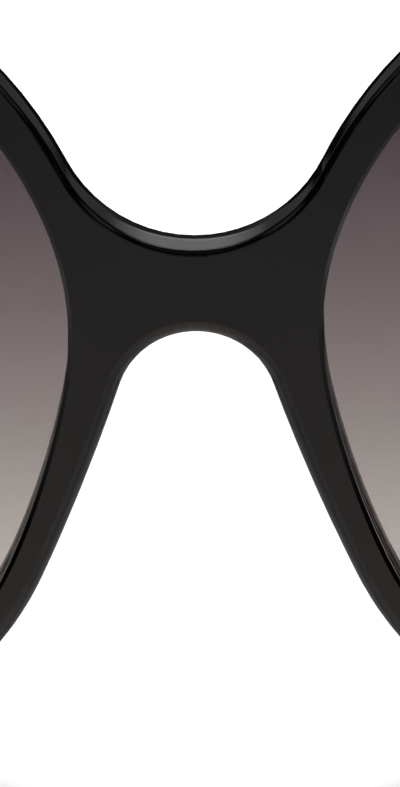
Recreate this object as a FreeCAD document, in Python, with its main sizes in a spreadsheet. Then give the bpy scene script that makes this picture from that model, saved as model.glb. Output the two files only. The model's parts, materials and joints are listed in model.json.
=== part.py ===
import FreeCAD, Part
import cmath
import math
import os
from collections import namedtuple
from types import SimpleNamespace

from FreeCAD import Placement, Rotation, Vector

# Oversized acetate sunglasses, standing open on the rims and the temple tips.
# The front faces -Y, the temples reach to +Y and +Z is up; left is the wearer's left, at +X.

# Driving dimensions, in millimetres and degrees
SIZES = {
    # Lens openings seen from the front
    "lens_gap": 18.88,
    "upper_lens_height": 25.5,
    "lower_lens_height": 32.0,
    "top_point_inset": 27.1,
    "bottom_point_inset": 26.0,
    "temporal_point_rise": 5.0,
    "nasal_radius": 25.8,
    "nasal_turn": 11.8,
    # How much each quarter of the opening is pinched, from the roundest bend that fits
    "lower_nasal_pinch_share": 0.0461,
    "lower_temporal_pinch_share": 0.0726,
    "upper_temporal_pinch_share": 0.2195,
    "upper_nasal_pinch_share": 0.1725,
    # Rims, bridge and arch
    "rim_width": 2.7,
    "brow_width": 3.0,
    "nasal_point_rise": 0.06,
    "bridge_height": 6.26,
    "arch_radius": 6.0,
    "arm_radius": 170.0,
    # Front shell
    "front_radius": 220.0,
    "front_thickness": 4.6,
    "front_round": 0.4,
    "nose_round": 1.0,
    "lip_bevel": 0.3,
    # End pieces
    "frame_width": 149.0,
    "end_piece_reach": 8.06,
    "hinge_rise": 17.0,
    "end_piece_depth": 18.0,
    "end_piece_fillet": 4.0,
    "end_piece_slope": 30.0,
    # Lenses
    "lens_thickness": 2.0,
    "lens_setback": 1.2,
    "tongue_height": 0.55,
    "tongue_thickness": 0.9,
    "lens_clearance": 0.05,
    # Nose pads
    "pad_length": 14.0,
    "pad_depth": 4.5,
    "pad_thickness": 1.9,
    "pad_corner": 3.2,
    "pad_round": 0.8,
    "pad_drop": 11.5,
    "pad_inset": 1.05,
    "pad_lean": 22.0,
    "pad_flare": 4.0,
    # Hinges
    "barrel_radius": 1.4,
    "barrel_clearance": 0.15,
    "barrel_wall_clearance": 0.3,
    "knuckle_length": 1.2,
    "knuckle_gap": 0.08,
    "leaf_thickness": 0.8,
    "front_leaf_reach": 4.0,
    "temple_leaf_length": 9.0,
    "leaf_margin": 0.2,
    "recess_clearance": 0.05,
    # Hinge screw
    "pin_radius": 0.6,
    "pin_clearance": 0.04,
    "pin_head_radius": 1.0,
    "pin_head_height": 0.5,
    # Leaf screws
    "screw_radius": 0.5,
    "screw_head_radius": 0.9,
    "screw_length": 2.4,
    "screw_clearance": 0.03,
    "slot_width": 0.3,
    "slot_depth": 0.25,
    "front_screw_inset": 1.25,
    "front_screw_spacing": 3.2,
    "temple_screw_inset": 4.2,
    "temple_screw_spacing": 3.4,
    # Temples
    "temple_thickness": 3.8,
    "tip_thickness": 3.0,
    "temple_height": 12.0,
    "ear_height": 6.2,
    "tip_height": 7.6,
    "temple_shaft": 86.0,
    "temple_slope": 8.0,
    "ear_bend_radius": 30.0,
    "ear_drop_angle": 45.0,
    "temple_round": 0.9,
    "temple_end_gap": 0.3,
    "toe_in": 1.6,
    # Core wires
    "wire_radius": 0.65,
    "wire_clearance": 0.02,
    "wire_depth": 1.65,
    "wire_start": 14.0,
    "wire_end_cover": 6.0,
    # Cutting tools run past the material by this much
    "overrun": 2.0,
}

KNUCKLES = 5

# What lies nearer than this is taken to touch
NEAR = 1e-4

doc = FreeCAD.newDocument("sunglasses")
sheet = doc.addObject("Spreadsheet::Sheet", "sizes")
for row, (alias, value) in enumerate(SIZES.items(), start=1):
    sheet.set(f"A{row}", alias)
    sheet.set(f"B{row}", str(value))
    sheet.setAlias(f"B{row}", alias)
doc.recompute()
s = SimpleNamespace(**{alias: float(sheet.get(alias)) for alias in SIZES})

# A circle of an outline: its centre across and up, and its radius, negative where the outline bends in
Circle = namedtuple("Circle", "x z r")

X_AXIS = Vector(1, 0, 0)
Y_AXIS = Vector(0, 1, 0)
Z_AXIS = Vector(0, 0, 1)


def grown(circles, margin):
    return [Circle(c.x, c.z, c.r + margin) for c in circles]


def mirrored(circles):
    return [Circle(-c.x, c.z, c.r) for c in reversed(circles)]


def cross(first, second):
    return (first.conjugate() * second).imag


def bend(start, start_way, stop, stop_way, pinch_share):
    """Two touching circles that turn an outline from start to stop; points and ways are complex numbers.

    The tighter lies at the end nearer to the corner, pinched from the roundest that fits there.
    """
    gap = stop - start
    near = cross(gap, stop_way) / cross(start_way, stop_way)
    far = cross(start_way, gap) / cross(start_way, stop_way)
    turn = cmath.phase(stop_way / start_way)
    tight = (1 - pinch_share) * min(near, far) / math.tan(turn / 2)
    ends = [(start, start_way), (stop, stop_way)]
    order = 1 if near < far else -1
    (tight_point, tight_way), (loose_point, loose_way) = ends[::order]
    tight_centre = tight_point + 1j * tight_way * tight
    offset = tight_centre - loose_point
    loose = (abs(offset) ** 2 - tight ** 2) / (2 * (cross(loose_way, offset) - tight))
    loose_centre = loose_point + 1j * loose_way * loose
    pair = [Circle(tight_centre.real, tight_centre.imag, tight),
            Circle(loose_centre.real, loose_centre.imag, loose)]
    return pair[::order]


def belt(circles, lift):
    """Closed wire round the circles, counter-clockwise: arcs, and tangent lines where they part."""
    touching = 1e-9
    leave_angles = []
    for near, far in zip(circles, circles[1:] + circles[:1]):
        across, up = far.x - near.x, far.z - near.z
        lean = (near.r - far.r) / math.hypot(across, up)
        if abs(lean) > 1 - touching:
            lean = math.copysign(1, lean)
        leave_angles.append(math.atan2(up, across) - math.acos(lean))

    def point(circle, angle):
        return lift(circle.x + circle.r * math.cos(angle), circle.z + circle.r * math.sin(angle))

    edges = []
    pen = point(circles[0], leave_angles[-1])
    first = pen
    for circle, arrive, leave in zip(circles, leave_angles[-1:] + leave_angles[:-1], leave_angles):
        start = point(circle, arrive)
        if (start - pen).Length > touching ** 0.5:
            edges.append(Part.LineSegment(pen, start).toShape())
            pen = start
        if circle.r:
            turn = math.copysign((math.copysign(1, circle.r) * (leave - arrive)) % math.tau, circle.r)
            middle = point(circle, arrive + turn / 2)
            stop = point(circle, arrive + turn)
            edges.append(Part.Arc(pen, middle, stop).toShape())
            pen = stop
    if (first - pen).Length > touching ** 0.5:
        edges.append(Part.LineSegment(pen, first).toShape())
    return Part.Wire(edges)


# Levels and stations of the front
half_width = s.frame_width / 2
nasal_x = s.lens_gap / 2
top_x = nasal_x + s.top_point_inset
bottom_x = nasal_x + s.bottom_point_inset
temporal_x = half_width - s.end_piece_reach
lens_bottom_z = s.rim_width
nasal_z = lens_bottom_z + s.lower_lens_height
temporal_z = nasal_z + s.temporal_point_rise
lens_top_z = nasal_z + s.upper_lens_height
arch_z = nasal_z - s.nasal_point_rise
bridge_z = arch_z + s.bridge_height
frame_top_z = lens_top_z + s.brow_width
middle_z = frame_top_z / 2
hinge_z = nasal_z + s.hinge_rise
end_piece_low_z = hinge_z - s.temple_height / 2
end_piece_high_z = hinge_z + s.temple_height / 2

# Side view of a temple: a straight shaft, the bend over the ear and the drop to the floor
slope = math.radians(s.temple_slope)
drop = math.radians(s.ear_drop_angle)
tip_radius = s.tip_height / 2
shaft_fall = s.temple_shaft * math.sin(slope)
bend_fall = s.ear_bend_radius * (math.cos(slope) - math.cos(drop))
ear_drop = (hinge_z - shaft_fall - bend_fall - tip_radius) / math.sin(drop)
shaft_run = s.temple_shaft * math.cos(slope)
bend_run = s.ear_bend_radius * (math.sin(drop) - math.sin(slope))
temple_run = shaft_run + bend_run + ear_drop * math.cos(drop)

# The whole depth is centred on the origin
front_y = -(s.end_piece_depth + (temple_run + tip_radius) * math.cos(math.radians(s.toe_in))) / 2
end_piece_y = front_y + s.end_piece_depth
temple_y = end_piece_y + s.temple_end_gap
shell_centre = Vector(0, front_y + s.front_radius, middle_z)

# Hinge axis and the faces that the leaves lie in
temple_inner_x = half_width - s.temple_thickness
hinge_x = temple_inner_x - s.barrel_wall_clearance - s.barrel_radius
hinge_y = end_piece_y + s.barrel_clearance + s.barrel_radius
knuckle_pitch = s.knuckle_length + s.knuckle_gap
hinge_height = KNUCKLES * knuckle_pitch - s.knuckle_gap
hinge_low_z = hinge_z - hinge_height / 2
leaf_height = hinge_height + 2 * s.leaf_margin


def lens_circles():
    """The nine circles round the left lens opening, from the nasal side down and round."""
    right, up, left, down = 1, 1j, -1, -1j
    nasal = complex(nasal_x, nasal_z)
    bottom = complex(bottom_x, lens_bottom_z)
    temporal = complex(temporal_x, temporal_z)
    top = complex(top_x, lens_top_z)
    nasal_centre = nasal + s.nasal_radius
    turned = cmath.rect(1, math.radians(s.nasal_turn))
    return [
        Circle(nasal_centre.real, nasal_centre.imag, s.nasal_radius),
        *bend(nasal_centre - s.nasal_radius * turned, down * turned, bottom, right,
              s.lower_nasal_pinch_share),
        *bend(bottom, right, temporal, up, s.lower_temporal_pinch_share),
        *bend(temporal, up, top, left, s.upper_temporal_pinch_share),
        *bend(top, left, nasal, down, s.upper_nasal_pinch_share),
    ]


lens_outline = lens_circles()


def arm_circle(arch, foot):
    """Circle of the arm's edge beside the nose: it touches the arch and holds the foot's circle."""
    across, up = foot.x - arch.x, foot.z - arch.z
    span = math.hypot(across, up)
    reach = s.arm_radius - arch.r
    along = (reach ** 2 - (s.arm_radius - foot.r) ** 2 + span ** 2) / (2 * span)
    rise = math.sqrt(reach ** 2 - along ** 2)
    return Circle(arch.x + (along * across - rise * up) / span,
                  arch.z + (along * up + rise * across) / span, s.arm_radius)


def end_piece_fillet(side):
    """Circle that fills the corner under an end piece, limited so that it ends before the outer corner."""
    across = half_width - s.temple_round - side.x
    up = end_piece_low_z - side.z
    largest = (across ** 2 + up ** 2 - side.r ** 2) / (2 * (side.r + up))
    radius = min(s.end_piece_fillet, largest)
    along = math.sqrt((side.r + radius) ** 2 - (up - radius) ** 2)
    return Circle(side.x + along, end_piece_low_z - radius, -radius)


def front_circles():
    """Circles round the whole front: arch, left half, notch over the bridge, right half."""
    rim = grown(lens_outline[2:6], s.rim_width)
    brow = grown(lens_outline[6:8], s.brow_width)
    crown = brow[-1]
    arch = Circle(0, arch_z - s.arch_radius, -s.arch_radius)
    arm = arm_circle(arch, rim[0])
    fillet = end_piece_fillet(rim[-1])
    if fillet.z < temporal_z:
        rim.pop()
        fillet = end_piece_fillet(rim[-1])
    corner_x = half_width - s.temple_round
    low_corner = Circle(corner_x, end_piece_low_z + s.temple_round, s.temple_round)
    high_corner = Circle(corner_x, end_piece_high_z - s.temple_round, s.temple_round)
    dip = crown.z - bridge_z
    notch_radius = (crown.x ** 2 + dip ** 2 - crown.r ** 2) / (2 * (crown.r + dip))
    notch = Circle(0, bridge_z + notch_radius, -notch_radius)
    half = [arm, *rim, fillet, low_corner, high_corner, *brow]
    return [arch, *half, notch, *mirrored(half)]


def front_lift(x, z):
    """Puts an outline point in the upright plane just before the front."""
    return Vector(x, front_y - s.overrun, z)


def feature(kind, name, **properties):
    item = doc.addObject(kind, name)
    for key, setting in properties.items():
        setattr(item, key, setting)
    return item


def face(name, circles, lift):
    return feature("Part::Feature", name, Shape=Part.Face(belt(circles, lift)))


def extrusion(name, circles, lift, direction, length):
    solid = feature("Part::Extrusion", name, Base=face(name + "_outline", circles, lift), Solid=True)
    solid.DirMode = "Custom"
    solid.Dir = direction
    solid.setExpression("LengthFwd", length)
    return solid


def through_front(name, circles):
    """A prism of the outline, from before the front to the back of the end pieces."""
    return extrusion(name, circles, front_lift, Y_AXIS, "sizes.end_piece_depth + sizes.overrun")


def ball(name, inset):
    """Ball whose skin lies inset behind the front's own curve."""
    solid = feature("Part::Sphere", name, Placement=Placement(shell_centre, Rotation()))
    solid.setExpression("Radius", f"sizes.front_radius - ({inset})")
    return solid


def box(name, sides, corner):
    solid = feature("Part::Box", name, Placement=Placement(corner, Rotation()))
    for side, length in zip(("Length", "Width", "Height"), sides):
        solid.setExpression(side, length)
    return solid


def rod(name, radius, length, start, direction):
    solid = feature("Part::Cylinder", name, Placement=Placement(start, Rotation(Z_AXIS, direction)))
    solid.setExpression("Radius", radius)
    solid.setExpression("Height", length)
    return solid


def cone(name, near_radius, far_radius, length, start, direction):
    solid = feature("Part::Cone", name, Placement=Placement(start, Rotation(Z_AXIS, direction)))
    solid.setExpression("Radius1", near_radius)
    solid.setExpression("Radius2", far_radius)
    solid.setExpression("Height", length)
    return solid


def fuse(name, *shapes):
    return feature("Part::MultiFuse", name, Shapes=list(shapes))


def common(name, base, tool):
    return feature("Part::Common", name, Base=base, Tool=tool)


def cut(name, base, *tools):
    tool = tools[0] if len(tools) == 1 else fuse(name + "_tools", *tools)
    return feature("Part::Cut", name, Base=base, Tool=tool)


def mirror(source, name):
    """The right-hand twin of a left-hand shape."""
    return feature("Part::Mirroring", name, Source=source, Normal=X_AXIS, Base=Vector(0, 0, 0))


def edged(kind, name, base, size_at, chosen):
    """Fillets or chamfers along the chosen edges, each as large as size_at says at its two ends."""
    doc.recompute()
    rows = []
    for index, edge in enumerate(base.Shape.Edges, start=1):
        if chosen(edge):
            rows.append((index, *(size_at(edge.valueAt(end)) for end in edge.ParameterRange)))
    return feature(kind, name, Base=base, Edges=rows)


def on_front(edge, outline):
    """True where an edge runs along the front's own curve and, seen from the front, along the outline."""
    middle = edge.valueAt(sum(edge.ParameterRange) / 2)
    if abs((middle - shell_centre).Length - s.front_radius) > NEAR:
        return False
    seen = Part.Vertex(front_lift(abs(middle.x), middle.z))
    return outline.distToShape(seen)[0] < NEAR


def curved_slab(name, circles, near_ball, far_ball):
    """The outline's prism between two balls."""
    near = common(name + "_near", through_front(name + "_prism", circles), near_ball)
    return cut(name, near, far_ball)


# Front shell with its end pieces
front_ball = ball("front_ball", "0")
back_ball = ball("back_ball", "sizes.front_thickness")
front_prism = through_front("front_prism", front_circles())
blank = common("front_blank", front_prism, front_ball)

# Each end piece stands up behind the shell as a block with sloped sides, set out from the hinge axis
block = feature("Part::Wedge", "end_piece_block")
block.Placement = Placement(Vector(hinge_x, end_piece_y, hinge_z), Rotation())
SLOPED_AWAY = "sizes.end_piece_depth * tan(sizes.end_piece_slope * 1 deg)"
PAST_END = "sizes.temple_thickness + sizes.barrel_wall_clearance + sizes.barrel_radius + sizes.overrun"
for side, expression in {
    "Ymin": "-sizes.end_piece_depth",
    "Ymax": "0",
    "X2min": "-sizes.front_leaf_reach - sizes.leaf_margin",
    "Xmin": f"-sizes.front_leaf_reach - sizes.leaf_margin - {SLOPED_AWAY}",
    "X2max": PAST_END,
    "Xmax": PAST_END,
    "Z2min": "-sizes.temple_height / 2",
    "Zmin": f"-sizes.temple_height / 2 - {SLOPED_AWAY}",
    "Z2max": "sizes.temple_height",
    "Zmax": "sizes.temple_height",
}.items():
    block.setExpression(side, expression)
hollow = cut("front_hollow", back_ball, block, mirror(block, "right_end_piece_block"))
shell = cut("front_shell", blank, hollow)
outer_edge = front_prism.Base.Shape.OuterWire


def shell_round(point):
    """Rounding of the front's outer edge: larger beside the nose, as far out as the rims' lowest points."""
    nose_side = point.z < arch_z + NEAR and abs(point.x) < bottom_x + NEAR
    return s.nose_round if nose_side else s.front_round


shell = edged("Part::Fillet", "front_shell_rounded", shell, shell_round,
              lambda edge: on_front(edge, outer_edge))

# Lens openings, with their lips bevelled, and the grooves that hold the lenses
opening = through_front("lens_opening", lens_outline)
opened = cut("front_opened", shell, opening, mirror(opening, "right_lens_opening"))
lip = opening.Base.Shape.OuterWire


opened = edged("Part::Chamfer", "front_lips_bevelled", opened, lambda point: s.lip_bevel,
               lambda edge: on_front(edge, lip))
TONGUE_NEAR = "sizes.lens_setback + (sizes.lens_thickness - sizes.tongue_thickness) / 2"
TONGUE_FAR = "sizes.lens_setback + (sizes.lens_thickness + sizes.tongue_thickness) / 2"
groove = curved_slab(
    "lens_groove",
    grown(lens_outline, s.tongue_height + s.lens_clearance),
    ball("groove_near_ball", f"{TONGUE_NEAR} - sizes.lens_clearance"),
    ball("groove_far_ball", f"{TONGUE_FAR} + sizes.lens_clearance"),
)

# Lens: a curved pane and, round its edge, a tongue
pane = curved_slab(
    "left_lens_pane",
    grown(lens_outline, -s.lens_clearance),
    ball("pane_near_ball", "sizes.lens_setback"),
    ball("pane_far_ball", "sizes.lens_setback + sizes.lens_thickness"),
)
tongue = curved_slab(
    "left_lens_tongue",
    grown(lens_outline, s.tongue_height),
    ball("tongue_near_ball", TONGUE_NEAR),
    ball("tongue_far_ball", TONGUE_FAR),
)
left_lens = fuse("left_lens", pane, tongue)

# Nose pad: a rounded fin behind the edge of the arm, its foot fitted to the back of the shell
arm = front_circles()[1]
pad_z = arch_z - s.pad_drop
pad_x = arm.x - math.sqrt((arm.r - s.pad_inset) ** 2 - (pad_z - arm.z) ** 2)
back_radius = s.front_radius - s.front_thickness
pad_y = shell_centre.y - math.sqrt(back_radius ** 2 - pad_x ** 2 - (pad_z - middle_z) ** 2)
pad_half = s.pad_length / 2
pad_corner_y = s.pad_depth - s.pad_corner
pad_circles = [
    Circle(-s.overrun, -pad_half, 0),
    Circle(pad_corner_y, s.pad_corner - pad_half, s.pad_corner),
    Circle(pad_corner_y, pad_half - s.pad_corner, s.pad_corner),
    Circle(-s.overrun, pad_half, 0),
]
fin = extrusion("pad_fin", pad_circles, lambda y, z: Vector(-s.pad_thickness / 2, y, z),
                X_AXIS, "sizes.pad_thickness")


def pad_rim(edge):
    crosswise = edge.BoundBox.XLength > s.pad_thickness / 2
    return not crosswise and edge.BoundBox.YMax > 0


fin = edged("Part::Fillet", "pad_fin_rounded", fin, lambda point: s.pad_round, pad_rim)
fin.Placement = Placement(Vector(pad_x, pad_y, pad_z),
                          Rotation(Y_AXIS, -s.pad_lean) * Rotation(Z_AXIS, -s.pad_flare))
left_nose_pad = common("left_nose_pad", fin, back_ball)

# Hinge leaves: a plate with bored knuckles, three on the front and two on the temple
HINGE_HEIGHT = f"{KNUCKLES} * (sizes.knuckle_length + sizes.knuckle_gap) - sizes.knuckle_gap"
LEAF_HEIGHT = f"{HINGE_HEIGHT} + 2 * sizes.leaf_margin"
leaf_low_z = hinge_z - leaf_height / 2
bore = rod("knuckle_bore", "sizes.pin_radius + sizes.pin_clearance", LEAF_HEIGHT,
           Vector(hinge_x, hinge_y, leaf_low_z), Z_AXIS)
head_seat = rod("pin_head_seat", "sizes.pin_head_radius + sizes.pin_clearance",
                "sizes.pin_head_height + sizes.overrun",
                Vector(hinge_x, hinge_y, hinge_low_z + hinge_height - s.pin_head_height), Z_AXIS)


def knuckles(name, places, web_sides, web_corner):
    """Barrels round the hinge axis at these places up the hinge, each with the web that carries it."""
    pieces = []
    for place in places:
        z = hinge_low_z + place * knuckle_pitch
        pieces.append(rod(f"{name}_barrel_{place}", "sizes.barrel_radius", "sizes.knuckle_length",
                          Vector(hinge_x, hinge_y, z), Z_AXIS))
        pieces.append(box(f"{name}_web_{place}", (*web_sides, "sizes.knuckle_length"),
                          Vector(*web_corner, z)))
    return pieces


def countersunk(name, face_point, direction):
    """A countersunk screw in a face, and the tool that cuts its seat and hole."""
    head = cone(name + "_head", "sizes.screw_head_radius", "sizes.screw_radius",
                "sizes.screw_head_radius - sizes.screw_radius", face_point, direction)
    shank = rod(name + "_shank", "sizes.screw_radius", "sizes.screw_length", face_point, direction)
    slot = box(name + "_slot",
               ("2 * sizes.screw_head_radius", "sizes.slot_width", "2 * sizes.slot_depth"), face_point)
    slot_corner = Vector(-s.screw_head_radius, -s.slot_width / 2, -s.slot_depth)
    turned = Rotation(Z_AXIS, direction)
    slot.Placement = Placement(face_point + turned.multVec(slot_corner), turned)
    screw = cut(name, fuse(name + "_solid", head, shank), slot)
    hole = rod(name + "_hole", "sizes.screw_radius + sizes.screw_clearance",
               "sizes.screw_length + sizes.screw_clearance", face_point, direction)
    return screw, fuse(name + "_seat", head, hole)


front_plate = box(
    "front_plate",
    ("sizes.front_leaf_reach + sizes.barrel_radius", "sizes.leaf_thickness", LEAF_HEIGHT),
    Vector(hinge_x - s.front_leaf_reach, end_piece_y - s.leaf_thickness, leaf_low_z),
)
front_recess = box(
    "front_recess",
    ("sizes.front_leaf_reach + sizes.barrel_radius + 2 * sizes.recess_clearance",
     "sizes.leaf_thickness + sizes.overrun",
     f"{LEAF_HEIGHT} + 2 * sizes.recess_clearance"),
    Vector(hinge_x - s.front_leaf_reach - s.recess_clearance, end_piece_y - s.leaf_thickness,
           leaf_low_z - s.recess_clearance),
)
front_knuckles = knuckles(
    "front", range(0, KNUCKLES, 2),
    ("2 * sizes.barrel_radius", "sizes.leaf_thickness + sizes.barrel_clearance + sizes.barrel_radius"),
    (hinge_x - s.barrel_radius, end_piece_y - s.leaf_thickness),
)
front_screw_x = hinge_x - s.front_leaf_reach + s.front_screw_inset
front_screws = {}
for place, side in (("upper", 1), ("lower", -1)):
    screw_point = Vector(front_screw_x, end_piece_y, hinge_z + side * s.front_screw_spacing / 2)
    front_screws[place] = countersunk(f"left_front_{place}_screw", screw_point, -Y_AXIS)
left_front_leaf = cut("left_front_leaf", fuse("front_leaf_blank", front_plate, *front_knuckles),
                      bore, head_seat, *(seat for screw, seat in front_screws.values()))

temple_plate_y = hinge_y - s.barrel_radius
temple_plate = box(
    "temple_plate",
    ("sizes.leaf_thickness", "sizes.temple_leaf_length", LEAF_HEIGHT),
    Vector(temple_inner_x, temple_plate_y, leaf_low_z),
)
temple_recess = box(
    "temple_recess",
    ("sizes.leaf_thickness + sizes.overrun",
     "sizes.temple_leaf_length + sizes.overrun + sizes.recess_clearance",
     f"{LEAF_HEIGHT} + 2 * sizes.recess_clearance"),
    Vector(temple_inner_x - s.overrun, temple_plate_y - s.overrun, leaf_low_z - s.recess_clearance),
)
temple_knuckles = knuckles(
    "temple", range(1, KNUCKLES, 2),
    ("sizes.barrel_radius + sizes.barrel_wall_clearance + sizes.leaf_thickness",
     "2 * sizes.barrel_radius"),
    (hinge_x, temple_plate_y),
)
temple_screws = {}
for place, step in (("near", 0), ("far", 1)):
    screw_y = temple_plate_y + s.temple_screw_inset + step * s.temple_screw_spacing
    screw_point = Vector(temple_inner_x, screw_y, hinge_z)
    temple_screws[place] = countersunk(f"left_temple_{place}_screw", screw_point, X_AXIS)
left_temple_leaf = cut("left_temple_leaf", fuse("temple_leaf_blank", temple_plate, *temple_knuckles),
                       bore, *(seat for screw, seat in temple_screws.values()))

# Hinge screw: its head sunk in the top knuckle, its end flush with the lowest
pin_shank = rod("pin_shank", "sizes.pin_radius", HINGE_HEIGHT,
                Vector(hinge_x, hinge_y, hinge_low_z), Z_AXIS)
pin_top = Vector(hinge_x, hinge_y, hinge_low_z + hinge_height)
pin_head = rod("pin_head", "sizes.pin_head_radius", "sizes.pin_head_height", pin_top, -Z_AXIS)
pin_slot = box("pin_slot", ("2 * sizes.pin_head_radius", "sizes.slot_width", "2 * sizes.slot_depth"),
               pin_top - Vector(s.pin_head_radius, s.slot_width / 2, s.slot_depth))
left_hinge_screw = cut("left_hinge_screw", fuse("pin_blank", pin_shank, pin_head), pin_slot)

# The front is finished once the leaves are let into its end pieces
hinge_seats = fuse("left_hinge_seats", front_recess, *(seat for screw, seat in front_screws.values()))
front_frame = cut("front_frame", opened, groove, mirror(groove, "right_lens_groove"),
                  hinge_seats, mirror(hinge_seats, "right_hinge_seats"))

# Temple: its side view, thinned towards the tip and rounded, then toed in
bend_start = Vector(half_width, end_piece_y + shaft_run, hinge_z - shaft_fall)
bend_centre = bend_start - Vector(0, math.sin(slope), math.cos(slope)) * s.ear_bend_radius
tip_centre = Vector(half_width, end_piece_y + temple_run, tip_radius)
temple_circles = [
    Circle(temple_y, hinge_z - s.temple_height / 2, 0),
    Circle(bend_centre.y, bend_centre.z, s.ear_height / 2 - s.ear_bend_radius),
    Circle(tip_centre.y, tip_centre.z, tip_radius),
    Circle(bend_centre.y, bend_centre.z, s.ear_height / 2 + s.ear_bend_radius),
    Circle(temple_y, hinge_z + s.temple_height / 2, 0),
]
side = extrusion("temple_side", temple_circles, lambda y, z: Vector(half_width, y, z),
                 -X_AXIS, "sizes.temple_thickness")
plan_end_y = tip_centre.y + tip_radius
plan_circles = [
    Circle(temple_inner_x, end_piece_y, 0),
    Circle(half_width, end_piece_y, 0),
    Circle(half_width, plan_end_y, 0),
    Circle(half_width - s.tip_thickness, plan_end_y, 0),
]
plan = extrusion("temple_plan", plan_circles, lambda x, y: Vector(x, y, -s.overrun), Z_AXIS,
                 "sizes.rim_width + sizes.lower_lens_height + sizes.hinge_rise"
                 " + sizes.temple_height + sizes.overrun")
toed_in = Placement(Vector(0, 0, 0), Rotation(Z_AXIS, s.toe_in), Vector(half_width, end_piece_y, 0))


def temple_rim(edge):
    crosswise = edge.BoundBox.XLength > s.tip_thickness / 2
    return not crosswise and edge.BoundBox.YMax > temple_y + s.overrun


temple = edged("Part::Fillet", "temple_rounded", common("temple_blank", side, plan),
               lambda point: s.temple_round, temple_rim)
temple.Placement = toed_in

# Core wire along the middle of the temple, and the bore that it lies in
wire_offset = Vector(-s.wire_depth, 0, 0)
shaft_way = Vector(0, math.cos(slope), -math.sin(slope))
drop_way = Vector(0, math.cos(drop), -math.sin(drop))
middle_angle = (slope + drop) / 2
bend_middle = bend_centre + Vector(0, math.sin(middle_angle), math.cos(middle_angle)) * s.ear_bend_radius
bend_end = bend_centre + Vector(0, math.sin(drop), math.cos(drop)) * s.ear_bend_radius
wire_start = bend_start - shaft_way * (s.temple_shaft - s.wire_start) + wire_offset
wire_end = tip_centre - drop_way * s.wire_end_cover + wire_offset
path = feature("Part::Feature", "wire_path")
path.Shape = Part.Wire([
    Part.LineSegment(wire_start, bend_start + wire_offset).toShape(),
    Part.Arc(bend_start + wire_offset, bend_middle + wire_offset, bend_end + wire_offset).toShape(),
    Part.LineSegment(bend_end + wire_offset, wire_end).toShape(),
])


def along_path(name, radius):
    """A round rod along the wire's path."""
    section = feature("Part::Circle", name + "_section")
    section.Placement = Placement(wire_start, Rotation(Z_AXIS, shaft_way))
    section.setExpression("Radius", radius)
    swept = feature("Part::Sweep", name, Sections=[section], Solid=True)
    swept.Spine = (path, ["Edge1", "Edge2", "Edge3"])
    swept.Placement = toed_in
    return swept


left_core_wire = along_path("left_core_wire", "sizes.wire_radius")
wire_bore = along_path("wire_bore", "sizes.wire_radius + sizes.wire_clearance")
left_temple = cut("left_temple", temple, temple_recess, wire_bore,
                  *(seat for screw, seat in temple_screws.values()))

# Every piece by its name; all but the front come in pairs
left_pieces = {
    "lens": left_lens,
    "nose_pad": left_nose_pad,
    "front_leaf": left_front_leaf,
    **{f"front_{place}_screw": screw for place, (screw, seat) in front_screws.items()},
    "temple_leaf": left_temple_leaf,
    **{f"temple_{place}_screw": screw for place, (screw, seat) in temple_screws.items()},
    "hinge_screw": left_hinge_screw,
    "temple": left_temple,
    "core_wire": left_core_wire,
}
pieces = {"front_frame": front_frame}
for name, left in left_pieces.items():
    pieces[f"left_{name}"] = left
    pieces[f"right_{name}"] = mirror(left, f"right_{name}")
doc.recompute()

for item in doc.Objects:
    if "Invalid" in item.State or "Error" in item.State:
        raise RuntimeError(f"{item.Name} failed: {item.State}")
os.makedirs("parts", exist_ok=True)
for name, item in pieces.items():
    item.Label = name
    if item.Shape.isNull() or not item.Shape.isValid() or not item.Shape.Solids:
        raise RuntimeError(f"{name} has no valid solid")
for name, item in pieces.items():
    item.Shape.exportStep(f"parts/{name}.step")
    print(name, len(item.Shape.Solids), round(item.Shape.Volume, 2))
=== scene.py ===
import json
import math

import bpy
from mathutils import Matrix, Vector


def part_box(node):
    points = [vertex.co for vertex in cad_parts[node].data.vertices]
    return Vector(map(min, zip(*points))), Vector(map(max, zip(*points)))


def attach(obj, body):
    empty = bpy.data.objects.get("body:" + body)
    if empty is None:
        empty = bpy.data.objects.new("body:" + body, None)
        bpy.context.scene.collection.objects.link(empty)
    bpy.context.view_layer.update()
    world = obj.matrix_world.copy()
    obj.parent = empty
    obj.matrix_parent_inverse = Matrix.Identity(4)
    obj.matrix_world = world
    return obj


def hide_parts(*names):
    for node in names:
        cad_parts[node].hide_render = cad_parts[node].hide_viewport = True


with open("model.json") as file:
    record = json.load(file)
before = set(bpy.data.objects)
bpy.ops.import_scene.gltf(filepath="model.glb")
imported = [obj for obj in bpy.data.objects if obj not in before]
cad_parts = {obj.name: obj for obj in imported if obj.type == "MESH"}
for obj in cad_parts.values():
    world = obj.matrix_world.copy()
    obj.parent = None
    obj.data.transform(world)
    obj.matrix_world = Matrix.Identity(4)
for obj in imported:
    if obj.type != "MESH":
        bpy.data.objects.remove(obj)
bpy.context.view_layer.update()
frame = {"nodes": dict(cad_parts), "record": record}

MM = 0.001
scene = bpy.context.scene
slots = {subpart["node"]: subpart["material_slot"] for subpart in frame["record"]["subparts"]}

# The photograph's view
IMAGE_SIZE = Vector((400, 787))
PIXELS_PER_METRE = 13.5 / MM
CAMERA_RISE = math.radians(17.8)
CAMERA_TURN = math.radians(-1.57)
CAMERA_ROLL = math.radians(0.9)
CAMERA_DISTANCE = 1.2
NEAREST_SEEN = 0.01
ARCH_TOP_PIXEL = Vector((195.3, 334.8))
SENSOR = 36.0

# The floor, the lamp behind the temples that lights it, and the white all round
FLOOR_REACH = 6.0
LAMP_PLACE = Vector((0, 0.6, 0.6))
LAMP_SIZE = 0.6
LAMP_WATTS = 9.0
FILL_LIGHT = 0.7
WHITE_WALL = 1.1
PAPER_DARK = (0.87, 0.87, 0.87)
PAPER_PALE = (0.89, 0.89, 0.89)
PAPER_GRAINS = 900.0

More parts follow.
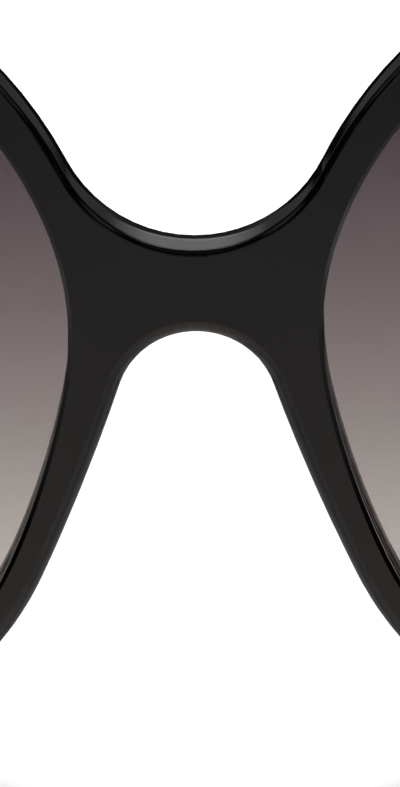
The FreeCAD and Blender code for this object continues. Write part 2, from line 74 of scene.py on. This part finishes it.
# How strong the things are that polished faces mirror
BACK_BOX_LIGHT = 0.6
FRONT_BOX_LIGHT = 0.4
SIDE_BOX_LIGHT = 0.25
TOP_BOX_LIGHT = 0.07
BACK_WALL_LIGHT = 0.08
FAR_FLOOR_LIGHT = 0.7
DARK_ROOM_LIGHT = 0.003
BOX_COLOUR = (1.0, 0.97, 0.99, 1.0)
WARM_COLOURS = [(0.2, (1.0, 0.93, 0.96)), (0.5, (1.0, 0.86, 0.78)), (1.0, (1.0, 0.9, 0.82))]

# Where they are, as parts of a direction: where a light starts and is full, or a band and its soft edge
BEHIND = (0.0, 0.2)
RING_UP = (0.17, 0.42, 0.1)
BACK_BOX_SIDEWAYS = (0.36, 0.1)
FRONT_BOX_ALONG = (-0.6, -0.8)
FRONT_BOX_SIDEWAYS = (0.4, 0.25)
SIDE_BOX_UP = (0.55, 0.75, 0.08)
SIDE_BOX_SIDEWAYS = (0.45, 0.65)
TOP_BOX_UP = (0.85, 0.95)
BACK_WALL_UP = (-0.08, 0.08, 0.06)
BACK_WALL_MIDDLE = (0.1, 0.25, 0.25, 1.0)
BACK_WALL_ENDS = (0.44, 0.34)
STRIP_SIDEWAYS = (0.42, 0.5, 0.1)
STRIP_SHADE = 0.3
FAR_OUT_SIDEWAYS = (0.55, 0.75)
FAR_OUT_UP = (-0.5, -0.4)
FAR_OUT_DIMMED = (0.0, 1.0, 1.0, 0.5)
NEAR_FLOOR_UP = (0.0, -0.12)
NEAR_FLOOR_DEPTH = (-0.1, -1.0, 0.32, 1.0)
WARM_SIDEWAYS = (0.32, 0.18)
FAR_FLOOR_UP = (-0.32, -0.36)
FAR_FLOOR_RISE = (0.0, 0.3, 0.0, 0.195)

# Noise lies mostly between these two
NOISE_LOW = 0.3
NOISE_HIGH = 0.7

# Acetate: how many grains its marks have to the metre and how high they stand
ACETATE_DARK = (0.0008, 0.0007, 0.0007)
ACETATE_PALE = (0.0018, 0.0016, 0.0015)
ACETATE_IOR = 1.49
CLOUD_GRAINS = 90.0
SMEAR_GRAINS = 420.0
SMEAR_SPREAD = (0.35, 0.75)
WAVE_GRAINS = 140.0
WAVE_HEIGHT = 0.004 * MM
HAIRLINE_GRAINS = 2600.0
HAIRLINE_HEIGHT = 0.0004 * MM
HAIRLINE_STRETCH = (1.0, 1.0, 0.08)

# Lens: what gets through at each share of its height, as the eye's 0 to 255, and how its faces shine
LENS_TINT = [(0.0, (212, 207, 201)), (0.29, (157, 150, 145)), (0.42, (128, 120, 118)),
             (0.58, (97, 88, 87)), (0.79, (63, 53, 58)), (1.0, (42, 34, 38))]
LENS_SMEAR_GRAINS = 160.0
LENS_SMEAR_SPREAD = (0.4, 0.7)
LENS_ROUGHNESS = (0.01, 0.035)
LENS_MIRROR = 0.04
SLANT_POWER = 5.0
CUT_EDGE_COLOUR = (0.09, 0.08, 0.074, 1.0)
CUT_EDGE_SLANT = (0.3, 0.6)

# Metal: brushing and lathe rings
BRUSH_GRAINS = 9000.0
BRUSH_DEPTH = 0.002 * MM
BRUSH_STAIN_GRAINS = 700.0
BRUSH_STAIN_SHADE = 0.8
RING_GRAINS = 14000.0
RING_DEPTH = 0.003 * MM
RING_STAIN_GRAINS = 900.0
RING_ROUGHNESS = (0.16, 0.34)
SCREW_DARK = (0.42, 0.42, 0.43)
SCREW_PALE = (0.58, 0.58, 0.59)

# Screws: the box of each gives its length and head; the rest is a share of the head's radius
SHANK_SHARE = 0.55
PIN_SHANK_SHARE = 0.6
PIN_HEAD_SHARE = 0.5
SLOT_WIDTH_SHARE = 0.34
SLOT_DEPTH_SHARE = 0.28
SLOT_BAR_SHARE = 3.0
DOME_SHARE = 0.12
EDGE_SHARE = 0.07
SCREW_SIDES = 32
DRIVEN_STEP = math.radians(137)
CREASE = math.radians(40)
MERGE = 0.001 * MM

# Half way out on the head, the dome still has this share of its height
HALF_WAY = 0.5
HALF_WAY_DOME = 0.75

# The front's shell is a piece of a ball, and its walls roll off at both edges up to the end pieces
SHELL_RADIUS = 220 * MM
SHELL_THICKNESS = 4.6 * MM
BRIDGE_HALF_HEIGHT = 3.2 * MM
NEAR_ROLL = 1.1 * MM
FAR_ROLL = 1.7 * MM
ROLL_SLOPE = 0.24
END_PIECE_START = 0.6
END_PIECE_SURE = 0.7

front_low, front_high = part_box("front_frame")
lens_low, lens_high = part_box("left_lens")
mounts = {mount["name"]: Vector(mount["pos_m"]) for mount in frame["record"]["mounts"]}
arch_top = Vector((0, front_low.y, mounts["nose_saddle"].z))
shell_middle = Vector((0, front_low.y + SHELL_RADIUS, (front_low.z + front_high.z) / 2))
rim_middle = Vector(((lens_low.x + lens_high.x) / 2, 0, arch_top.z + BRIDGE_HALF_HEIGHT))


class Tree:
    """A node tree that is written one node at a time."""

    def __init__(self, tree):
        self.nodes = tree.nodes
        self.links = tree.links
        self.nodes.clear()

    def add(self, kind, values=None, **settings):
        """Adds a node; a value that is a socket is linked, any other is set on the input."""
        node = self.nodes.new(kind)
        for key, setting in settings.items():
            setattr(node, key, setting)
        for key, value in (values or {}).items():
            if isinstance(value, bpy.types.NodeSocket):
                self.links.new(value, node.inputs[key])
            else:
                node.inputs[key].default_value = value
        return node

    def math(self, operation, first, second=0.0):
        return self.add("ShaderNodeMath", {0: first, 1: second}, operation=operation).outputs[0]

    def product(self, *factors):
        result = factors[0]
        for factor in factors[1:]:
            result = self.math("MULTIPLY", result, factor)
        return result

    def total(self, *terms):
        result = terms[0]
        for term in terms[1:]:
            result = self.math("ADD", result, term)
        return result

    def ramp(self, value, low, high, start=0.0, stop=1.0, smooth=True):
        """Goes from start to stop as the value goes from low to high."""
        node = self.add("ShaderNodeMapRange", {0: value, 1: low, 2: high, 3: start, 4: stop})
        node.interpolation_type = "SMOOTHSTEP" if smooth else "LINEAR"
        return node.outputs[0]

    def band(self, value, low, high, soft):
        """One between low and high, and nought a soft edge outside them."""
        return self.product(self.ramp(value, low - soft, low), self.ramp(value, high + soft, high))

    def colours(self, value, stops):
        """Goes through the stops' colours, each given with its place, as the value rises."""
        node = self.add("ShaderNodeValToRGB", {0: value})
        while len(node.color_ramp.elements) < len(stops):
            node.color_ramp.elements.new(1.0)
        for element, (place, colour) in zip(node.color_ramp.elements, stops):
            element.position = place
            element.color = (*colour, 1.0)
        return node.outputs[0]

    def mottle(self, noise, dark, pale):
        return self.colours(noise, [(NOISE_LOW, dark), (NOISE_HIGH, pale)])

    def noise(self, place, grains, detail=3.0, stretch=(1.0, 1.0, 1.0)):
        """Noise of so many grains to the metre, drawn out where the stretch is small."""
        turned = self.add("ShaderNodeMapping", {"Vector": place, "Scale": stretch}).outputs[0]
        values = {"Vector": turned, "Scale": grains, "Detail": detail}
        return self.add("ShaderNodeTexNoise", values).outputs[0]

    def bump(self, height, depth):
        values = {"Height": height, "Distance": depth, "Strength": 1.0}
        return self.add("ShaderNodeBump", values).outputs[0]

    def show(self, shader):
        self.add("ShaderNodeOutputMaterial", {"Surface": shader.outputs[0]})


def linear(red, green, blue):
    """A colour given as the eye's 0 to 255, in the renderer's own linear values."""
    def one(value):
        value /= 255
        return value / 12.92 if value <= 0.04045 else ((value + 0.055) / 1.055) ** 2.4
    return one(red), one(green), one(blue)


def new_material(name):
    made = bpy.data.materials.new(name)
    made.use_nodes = True
    tree = Tree(made.node_tree)
    return made, tree, tree.add("ShaderNodeTexCoord").outputs["Object"]


def rolled_edges(tree, place):
    """Height that falls away along both edges of the front's outer walls, as polishing leaves them."""
    from_middle = tree.add("ShaderNodeVectorMath", {0: place, 1: shell_middle}, operation="DISTANCE")
    depth = tree.math("SUBTRACT", SHELL_RADIUS, from_middle.outputs["Value"])
    sideways, _, height = tree.add("ShaderNodeSeparateXYZ", {"Vector": place}).outputs
    across = tree.math("ABSOLUTE", sideways)
    half_width = front_high.x
    off_end_pieces = tree.ramp(across, END_PIECE_SURE * half_width, END_PIECE_START * half_width)

    # An outer wall faces away from the middle of its rim, and the wall of a lens opening faces towards it
    facing = tree.add("ShaderNodeNewGeometry").outputs["True Normal"]
    turned, _, rising = tree.add("ShaderNodeSeparateXYZ", {"Vector": facing}).outputs
    to_middle = tree.math("SUBTRACT", rim_middle.x, across)
    inward = tree.product(to_middle, turned, tree.math("SIGN", sideways))
    lifted = tree.product(tree.math("SUBTRACT", rim_middle.z, height), rising)
    outer_wall = tree.ramp(tree.total(inward, lifted), 0.0, -BRIDGE_HALF_HEIGHT / 2)
    near = tree.ramp(depth, NEAR_ROLL, 0.0, smooth=False)
    far = tree.ramp(depth, SHELL_THICKNESS - FAR_ROLL, SHELL_THICKNESS, smooth=False)
    fall = tree.total(tree.product(near, near, NEAR_ROLL), tree.product(far, far, FAR_ROLL))
    return tree.product(fall, outer_wall, off_end_pieces, -ROLL_SLOPE / 2)


def acetate(name, roughness):
    """Black acetate: nearly no colour of its own, a hand polish with a slight wave and fine hairlines."""
    made, tree, place = new_material(name)
    colour = tree.mottle(tree.noise(place, CLOUD_GRAINS), ACETATE_DARK, ACETATE_PALE)
    smear = tree.noise(place, SMEAR_GRAINS, detail=6.0)
    wave = tree.noise(place, WAVE_GRAINS, detail=1.0)
    hairlines = tree.noise(place, HAIRLINE_GRAINS, detail=2.0, stretch=HAIRLINE_STRETCH)
    height = tree.total(rolled_edges(tree, place), tree.math("MULTIPLY", wave, WAVE_HEIGHT),
                        tree.math("MULTIPLY", hairlines, HAIRLINE_HEIGHT))
    tree.show(tree.add("ShaderNodeBsdfPrincipled",
                       {"Base Color": colour, "Roughness": tree.ramp(smear, *SMEAR_SPREAD, *roughness),
                        "IOR": ACETATE_IOR, "Normal": tree.bump(height, 1.0)}))
    return made


def gradient_lens():
    """Tinted resin, darkest at the top, with a matt cut edge; each of its faces takes half of the tint."""
    made, tree, place = new_material("gradient_lens_resin")
    height = tree.add("ShaderNodeSeparateXYZ", {"Vector": place}).outputs["Z"]
    share = tree.ramp(height, lens_low.z, lens_high.z, smooth=False)
    one_face = [(at, [math.sqrt(part) for part in linear(*colour)]) for at, colour in LENS_TINT]
    through = tree.add("ShaderNodeBsdfTransparent", {"Color": tree.colours(share, one_face)})
    smear = tree.noise(place, LENS_SMEAR_GRAINS, detail=5.0)
    gloss = tree.add("ShaderNodeBsdfGlossy",
                     {"Roughness": tree.ramp(smear, *LENS_SMEAR_SPREAD, *LENS_ROUGHNESS)})
    aslant = tree.add("ShaderNodeLayerWeight", {"Blend": 0.5}).outputs["Facing"]
    mirror = tree.ramp(tree.math("POWER", aslant, SLANT_POWER), 0.0, 1.0, LENS_MIRROR, 1.0, smooth=False)
    pane = tree.add("ShaderNodeMixShader", {0: mirror, 1: through.outputs[0], 2: gloss.outputs[0]})
    facing = tree.add("ShaderNodeNewGeometry").outputs["True Normal"]
    ahead = tree.math("ABSOLUTE", tree.add("ShaderNodeSeparateXYZ", {"Vector": facing}).outputs["Y"])
    cut_edge = tree.add("ShaderNodeBsdfDiffuse", {"Color": CUT_EDGE_COLOUR})
    off_edge = tree.ramp(ahead, *CUT_EDGE_SLANT)
    tree.show(tree.add("ShaderNodeMixShader", {0: off_edge, 1: cut_edge.outputs[0], 2: pane.outputs[0]}))
    return made


def brushed_metal(name, colour, roughness, stretch):
    """Metal with its brushing drawn out where the stretch is small."""
    made, tree, place = new_material(name)
    streaks = tree.noise(place, BRUSH_GRAINS, stretch=stretch)
    stained = [BRUSH_STAIN_SHADE * part for part in colour]
    shade = tree.mottle(tree.noise(place, BRUSH_STAIN_GRAINS), stained, colour)
    tree.show(tree.add("ShaderNodeBsdfPrincipled",
                       {"Base Color": shade, "Metallic": 1.0, "Normal": tree.bump(streaks, BRUSH_DEPTH),
                        "Roughness": tree.ramp(streaks, NOISE_LOW, NOISE_HIGH, *roughness)}))
    return made


def turned_steel():
    """Screw steel with the rings of the lathe round each screw's own axis."""
    made, tree, place = new_material("turned_screw_steel")
    radius = tree.add("ShaderNodeAttribute", attribute_name="from_axis").outputs["Fac"]
    rings = tree.add("ShaderNodeTexNoise", {"W": radius, "Scale": RING_GRAINS, "Detail": 2.0},
                     noise_dimensions="1D").outputs[0]
    shade = tree.mottle(tree.noise(place, RING_STAIN_GRAINS), SCREW_DARK, SCREW_PALE)
    tree.show(tree.add("ShaderNodeBsdfPrincipled",
                       {"Base Color": shade, "Metallic": 1.0, "Normal": tree.bump(rings, RING_DEPTH),
                        "Roughness": tree.ramp(rings, NOISE_LOW, NOISE_HIGH, *RING_ROUGHNESS)}))
    return made


finishes = {
    "black_acetate": acetate("black_acetate_polished", roughness=(0.03, 0.07)),
    "nose_pad_acetate": acetate("nose_pad_acetate_worn", roughness=(0.08, 0.16)),
    "gradient_lens": gradient_lens(),
    "hinge_metal": brushed_metal("hinge_nickel_silver", colour=(0.7, 0.69, 0.67),
                                 roughness=(0.14, 0.28), stretch=(1.0, 1.0, 0.06)),
    "hinge_screw_steel": turned_steel(),
    "core_wire": brushed_metal("core_wire_steel", colour=(0.5, 0.5, 0.5),
                               roughness=(0.3, 0.5), stretch=(1.0, 0.05, 1.0)),
}


def finish_nodes():
    """Gives every CAD node the finish of its slot in the record."""
    for name, slot in slots.items():
        mesh = frame["nodes"][name].data
        mesh.materials.clear()
        mesh.materials.append(finishes[slot])


def screw_tree():
    """Geometry nodes that turn a slotted screw on a lathe and set one on every point, along its axis."""
    group = bpy.data.node_groups.new("slotted_screws", "GeometryNodeTree")
    names = ("Head Radius", "Head Height", "Neck Radius", "Shank Radius", "Length",
             "Slot Width", "Slot Depth", "Dome", "Edge")
    group.interface.new_socket("Points", in_out="INPUT", socket_type="NodeSocketGeometry")
    inputs = {}
    for name in names:
        socket = group.interface.new_socket(name, in_out="INPUT", socket_type="NodeSocketFloat")
        inputs[name] = socket.identifier
    group.interface.new_socket("Screws", in_out="OUTPUT", socket_type="NodeSocketGeometry")
    tree = Tree(group)
    given = tree.add("NodeGroupInput").outputs
    head, height, neck, shank, length, slot_width, slot_depth, dome, edge = (given[name] for name in names)

    # Half of the screw's section, from the middle of its head down to the tip
    under_head = tree.math("MULTIPLY", height, -1.0)
    tip = tree.math("MULTIPLY", length, -1.0)
    corners = [
        (0.0, dome),
        (tree.math("MULTIPLY", head, HALF_WAY), tree.math("MULTIPLY", dome, HALF_WAY_DOME)),
        (tree.math("SUBTRACT", head, edge), 0.0),
        (head, tree.math("MULTIPLY", edge, -1.0)),
        (neck, under_head),
        (shank, under_head),
        (shank, tree.math("ADD", tip, edge)),
        (tree.math("SUBTRACT", shank, edge), tip),
        (0.0, tip),
    ]
    index = tree.add("GeometryNodeInputIndex").outputs[0]
    count = float(len(corners))
    pick = tree.add("GeometryNodeIndexSwitch", {"Index": tree.math("FLOORED_MODULO", index, count)},
                    data_type="VECTOR")
    while len(pick.index_switch_items) < len(corners):
        pick.index_switch_items.new()
    for number, (out, up) in enumerate(corners):
        corner = tree.add("ShaderNodeCombineXYZ", {"X": out, "Z": up})
        tree.links.new(corner.outputs[0], pick.inputs[str(number)])

    # The section is turned round the axis, and its seam and poles are closed
    step = tree.math("FLOOR", tree.math("DIVIDE", index, count))
    turn = tree.math("MULTIPLY", step, math.tau / SCREW_SIDES)
    place = tree.add("ShaderNodeVectorRotate", {"Vector": pick.outputs[0], "Angle": turn},
                     rotation_type="Z_AXIS").outputs[0]
    grid = tree.add("GeometryNodeMeshGrid", {"Vertices X": SCREW_SIDES + 1, "Vertices Y": len(corners)})
    body = tree.add("GeometryNodeSetPosition", {"Geometry": grid.outputs["Mesh"], "Position": place})
    body = tree.add("GeometryNodeFlipFaces", {"Mesh": body.outputs[0]})
    body = tree.add("GeometryNodeMergeByDistance", {"Geometry": body.outputs[0], "Distance": MERGE})

    # A bar that lies half in the head and reaches past its sides cuts the slot
    size = tree.add("ShaderNodeCombineXYZ", {"X": tree.math("MULTIPLY", head, SLOT_BAR_SHARE),
                                             "Y": slot_width,
                                             "Z": tree.math("MULTIPLY", slot_depth, 2.0)})
    bar = tree.add("GeometryNodeMeshCube", {"Size": size.outputs[0]}).outputs["Mesh"]
    slotted = tree.add("GeometryNodeMeshBoolean", {"Mesh 1": body.outputs[0], "Mesh 2": bar},
                       operation="DIFFERENCE", solver="EXACT").outputs["Mesh"]

    # Round faces are smooth up to their creases, and each point knows how far from the axis it is
    edge_angle = tree.add("GeometryNodeInputMeshEdgeAngle").outputs["Unsigned Angle"]
    crease = tree.add("FunctionNodeCompare", {0: edge_angle, 1: CREASE},
                      operation="GREATER_THAN").outputs[0]
    smooth = tree.add("GeometryNodeSetShadeSmooth", {"Geometry": slotted, "Shade Smooth": True},
                      domain="FACE")
    smooth = tree.add("GeometryNodeSetShadeSmooth",
                      {"Geometry": smooth.outputs[0], "Selection": crease, "Shade Smooth": False},
                      domain="EDGE")
    position = tree.add("GeometryNodeInputPosition").outputs[0]
    flat = tree.add("ShaderNodeVectorMath", {0: position, 1: (1.0, 1.0, 0.0)}, operation="MULTIPLY")
    from_axis = tree.add("ShaderNodeVectorMath", {0: flat.outputs[0]}, operation="LENGTH").outputs["Value"]
    screw = tree.add("GeometryNodeStoreNamedAttribute",
                     {"Geometry": smooth.outputs[0], "Name": "from_axis", "Value": from_axis},
                     data_type="FLOAT", domain="POINT")

    # Each point says which way its head faces and how far the screw was driven round
    facing = tree.add("GeometryNodeInputNamedAttribute", {"Name": "facing"}, data_type="FLOAT_VECTOR")
    driven = tree.add("GeometryNodeInputNamedAttribute", {"Name": "driven"}, data_type="FLOAT")
    upright = tree.add("FunctionNodeAlignRotationToVector", {"Vector": facing.outputs[0]}, axis="Z")
    twist = tree.add("FunctionNodeAxisAngleToRotation",
                     {"Axis": (0.0, 0.0, 1.0), "Angle": driven.outputs[0]})
    way = tree.add("FunctionNodeRotateRotation",
                   {"Rotation": upright.outputs[0], "Rotate By": twist.outputs[0]}, rotation_space="LOCAL")
    placed = tree.add("GeometryNodeInstanceOnPoints",
                      {"Points": given["Points"], "Instance": screw.outputs[0], "Rotation": way.outputs[0]})
    real = tree.add("GeometryNodeRealizeInstances", {"Geometry": placed.outputs[0]})
    done = tree.add("GeometryNodeSetMaterial",
                    {"Geometry": real.outputs[0], "Material": finishes["hinge_screw_steel"]})
    tree.add("NodeGroupOutput", {"Screws": done.outputs[0]})
    return group, inputs


def screws(name, body, group, inputs, facings, shank_share, head_share, neck_share):
    """Replaces a body's screws, given as node and the way its head faces, by turned ones in their place."""
    # The screws of one set are alike, so the radius and length of the last hold for all
    points = []
    for node, facing in facings.items():
        low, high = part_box(node)
        half = (high - low) / 2
        along = abs(half.dot(facing))
        points.append((low + high) / 2 + facing * along)
        across = half - Vector([abs(part) for part in facing]) * along
        radius = max(across)
        length = 2 * along
    mesh = bpy.data.meshes.new(name + "_points")
    mesh.from_pydata(points, [], [])
    mesh.attributes.new("facing", "FLOAT_VECTOR", "POINT")
    mesh.attributes.new("driven", "FLOAT", "POINT")
    for number, facing in enumerate(facings.values()):
        mesh.attributes["facing"].data[number].vector = facing
        mesh.attributes["driven"].data[number].value = DRIVEN_STEP * (number + 1)
    maker = bpy.data.objects.new(name + "_points", mesh)
    scene.collection.objects.link(maker)
    modifier = maker.modifiers.new("screws", "NODES")
    modifier.node_group = group
    shares = {"Head Radius": 1.0, "Head Height": head_share, "Neck Radius": neck_share,
              "Shank Radius": shank_share, "Slot Width": SLOT_WIDTH_SHARE,
              "Slot Depth": SLOT_DEPTH_SHARE, "Dome": DOME_SHARE, "Edge": EDGE_SHARE}
    modifier[inputs["Length"]] = length
    for key, share in shares.items():
        modifier[inputs[key]] = radius * share
    seen = bpy.context.evaluated_depsgraph_get()
    turned = bpy.data.meshes.new_from_object(maker.evaluated_get(seen), depsgraph=seen)
    piece = bpy.data.objects.new(name, turned)
    bpy.data.objects.remove(maker)
    scene.collection.objects.link(piece)
    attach(piece, body)
    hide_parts(*facings)


def all_screws():
    """The leaf screws and hinge screws of the front, and the leaf screws of each arm."""
    group, inputs = screw_tree()
    back, left, up = Vector((0, 1, 0)), Vector((1, 0, 0)), Vector((0, 0, 1))
    sides = ("left", "right")
    sunk = {"shank_share": SHANK_SHARE, "head_share": 1 - SHANK_SHARE, "neck_share": SHANK_SHARE}
    front = {f"{side}_front_{place}_screw": back for side in sides for place in ("upper", "lower")}
    screws("front_leaf_screws", "front", group, inputs, front, **sunk)
    pins = {f"{side}_hinge_screw": up for side in sides}
    screws("hinge_screws", "front", group, inputs, pins,
           shank_share=PIN_SHANK_SHARE, head_share=PIN_HEAD_SHARE, neck_share=1.0)
    for side, inward in zip(sides, (-left, left)):
        temple = {f"{side}_temple_{place}_screw": inward for place in ("near", "far")}
        screws(f"{side}_temple_leaf_screws", f"{side}_arm", group, inputs, temple, **sunk)


def floor():
    """A wide sheet of white paper that the sunglasses stand on."""
    signs = ((-1, -1), (1, -1), (1, 1), (-1, 1))
    corners = [(FLOOR_REACH * across, FLOOR_REACH * along, 0) for across, along in signs]
    mesh = bpy.data.meshes.new("floor")
    mesh.from_pydata(corners, [], [(0, 1, 2, 3)])
    paper = bpy.data.objects.new("floor", mesh)
    scene.collection.objects.link(paper)
    made, tree, place = new_material("floor_paper")
    colour = tree.mottle(tree.noise(place, PAPER_GRAINS), PAPER_DARK, PAPER_PALE)
    tree.show(tree.add("ShaderNodeBsdfDiffuse", {"Color": colour}))
    mesh.materials.append(made)
    paper.visible_glossy = False


def studio_world():
    """White all round for the eye; polished faces mirror a dark room with soft boxes and a lit floor."""
    world = bpy.data.worlds.new("studio")
    world.use_nodes = True
    scene.world = world
    tree = Tree(world.node_tree)
    way = tree.add("ShaderNodeTexCoord").outputs["Generated"]
    across, along, up = tree.add("ShaderNodeSeparateXYZ", {"Vector": way}).outputs
    sideways = tree.math("ABSOLUTE", across)
    behind = tree.ramp(along, *BEHIND)
    in_front = tree.math("SUBTRACT", 1.0, behind)

    # Boxes low behind and before the front, higher at both sides, a faint one overhead, and a back wall
    ring = tree.band(up, *RING_UP)
    back_box = tree.product(ring, behind, tree.ramp(sideways, *BACK_BOX_SIDEWAYS))
    front_box = tree.product(ring, tree.ramp(along, *FRONT_BOX_ALONG),
                             tree.ramp(sideways, *FRONT_BOX_SIDEWAYS))
    side_boxes = tree.product(tree.band(up, *SIDE_BOX_UP), tree.ramp(sideways, *SIDE_BOX_SIDEWAYS))
    top_box = tree.ramp(up, *TOP_BOX_UP)
    back_wall = tree.product(tree.band(up, *BACK_WALL_UP), behind,
                             tree.ramp(sideways, *BACK_WALL_MIDDLE), tree.ramp(sideways, *BACK_WALL_ENDS))

    # The near floor gets lighter downwards; it is warm in the middle and white at the sides
    strip = tree.band(sideways, *STRIP_SIDEWAYS)
    shade = tree.math("SUBTRACT", 1.0, tree.product(strip, STRIP_SHADE))
    far_out = tree.product(tree.ramp(sideways, *FAR_OUT_SIDEWAYS), tree.ramp(up, *FAR_OUT_UP))
    near_floor = tree.product(in_front, tree.ramp(up, *NEAR_FLOOR_UP), shade,
                              tree.ramp(far_out, *FAR_OUT_DIMMED),
                              tree.ramp(up, *NEAR_FLOOR_DEPTH, smooth=False))
    warm_floor = tree.product(near_floor, tree.ramp(sideways, *WARM_SIDEWAYS))

    # The floor behind is white and begins higher up towards the sides
    edge_rise = tree.ramp(sideways, *FAR_FLOOR_RISE, smooth=False)
    far_floor = tree.product(behind, tree.ramp(tree.math("SUBTRACT", up, edge_rise), *FAR_FLOOR_UP),
                             shade, FAR_FLOOR_LIGHT)
    white_floor = tree.total(far_floor, tree.math("SUBTRACT", near_floor, warm_floor))

    # The eye sees white, and only what a polished face mirrors is the room
    boxes = tree.total(tree.product(back_box, BACK_BOX_LIGHT), tree.product(side_boxes, SIDE_BOX_LIGHT),
                       tree.product(front_box, FRONT_BOX_LIGHT), tree.product(top_box, TOP_BOX_LIGHT),
                       tree.product(back_wall, BACK_WALL_LIGHT), white_floor, DARK_ROOM_LIGHT)
    warm_colour = tree.colours(tree.math("MULTIPLY", up, -1.0), WARM_COLOURS)
    warm_light = tree.add("ShaderNodeBackground", {"Color": warm_colour, "Strength": warm_floor})
    box_light = tree.add("ShaderNodeBackground", {"Color": BOX_COLOUR, "Strength": boxes})
    room = tree.add("ShaderNodeAddShader", {0: warm_light.outputs[0], 1: box_light.outputs[0]})
    rays = tree.add("ShaderNodeLightPath").outputs
    seen = tree.ramp(rays["Is Camera Ray"], 0.0, 1.0, FILL_LIGHT, WHITE_WALL, smooth=False)
    white = tree.add("ShaderNodeBackground", {"Color": (1.0, 1.0, 1.0, 1.0), "Strength": seen})
    mirrored = tree.math("MULTIPLY", rays["Is Glossy Ray"],
                         tree.math("SUBTRACT", 1.0, rays["Is Transmission Ray"]))
    light = tree.add("ShaderNodeMixShader", {0: mirrored, 1: white.outputs[0], 2: room.outputs[0]})
    tree.add("ShaderNodeOutputWorld", {"Surface": light.outputs[0]})


def back_lamp():
    """A round lamp, turned to the sunglasses, that lights the floor and stays out of sight."""
    data = bpy.data.lights.new("back_lamp", "AREA")
    data.shape = "DISK"
    data.size = LAMP_SIZE
    data.energy = LAMP_WATTS
    lamp = bpy.data.objects.new("back_lamp", data)
    turned = (-LAMP_PLACE).to_track_quat("-Z", "Y").to_matrix().to_4x4()
    lamp.matrix_world = Matrix.Translation(LAMP_PLACE) @ turned
    lamp.visible_glossy = False
    lamp.visible_camera = False
    scene.collection.objects.link(lamp)


def camera():
    """Looks down at the bridge with a long lens, at the photograph's scale, tilt and framing."""
    look = Vector((math.sin(CAMERA_TURN) * math.cos(CAMERA_RISE),
                   math.cos(CAMERA_TURN) * math.cos(CAMERA_RISE),
                   -math.sin(CAMERA_RISE)))
    level = look.cross(Vector((0, 0, 1))).normalized()
    upward = level.cross(look)
    right = level * math.cos(CAMERA_ROLL) - upward * math.sin(CAMERA_ROLL)
    upward = upward * math.cos(CAMERA_ROLL) + level * math.sin(CAMERA_ROLL)
    offset = (ARCH_TOP_PIXEL - IMAGE_SIZE / 2) / PIXELS_PER_METRE
    aim = arch_top - right * offset.x + upward * offset.y
    data = bpy.data.cameras.new("camera")
    data.sensor_fit = "VERTICAL"
    data.sensor_height = SENSOR
    data.lens = CAMERA_DISTANCE * SENSOR * PIXELS_PER_METRE / IMAGE_SIZE.y
    data.clip_start = NEAREST_SEEN
    eye = bpy.data.objects.new("camera", data)
    turn = Matrix((right, upward, -look)).transposed().to_4x4()
    eye.matrix_world = Matrix.Translation(aim - look * CAMERA_DISTANCE) @ turn
    scene.collection.objects.link(eye)
    scene.camera = eye


finish_nodes()
all_screws()
floor()
studio_world()
back_lamp()
camera()
scene.view_settings.view_transform = "Standard"
